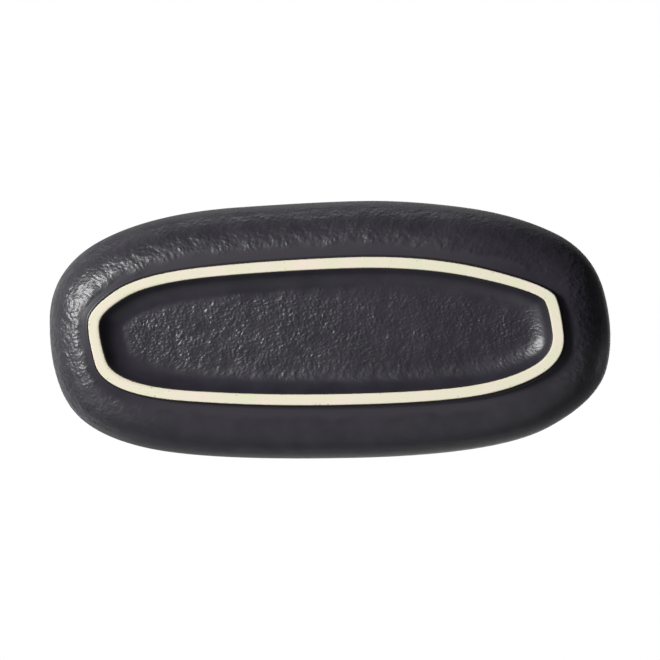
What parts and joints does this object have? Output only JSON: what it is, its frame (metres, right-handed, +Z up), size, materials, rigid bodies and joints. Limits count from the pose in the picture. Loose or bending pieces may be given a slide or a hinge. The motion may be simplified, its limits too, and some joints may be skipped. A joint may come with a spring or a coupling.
{
  "type": "serving dish",
  "caption": "Long oval stoneware serving dish with a rounded wall, black glaze inside and out, and a bare cream foot ring round a recessed panel that it stands on.",
  "frame": {"origin": "middle of the dish on the plane that its foot ring stands on", "axes": "+X along the length, +Y across the width, +Z up out of the well; the foot ring faces -Z"},
  "size_m": [0.3, 0.1374, 0.042],
  "materials": {
    "bare_stoneware": "matt fired cream clay, wiped free of glaze",
    "pebbled_black_glaze": "satin matt black over a fine pebbled relief",
    "smooth_black_glaze": "satin matt black, smooth"
  },
  "bodies": {
    "root": {"stoneware_body": "bare_stoneware", "outside_glaze": "pebbled_black_glaze", "inside_glaze": "smooth_black_glaze", "foot_panel_glaze": "pebbled_black_glaze"}
  },
  "joints": []
}
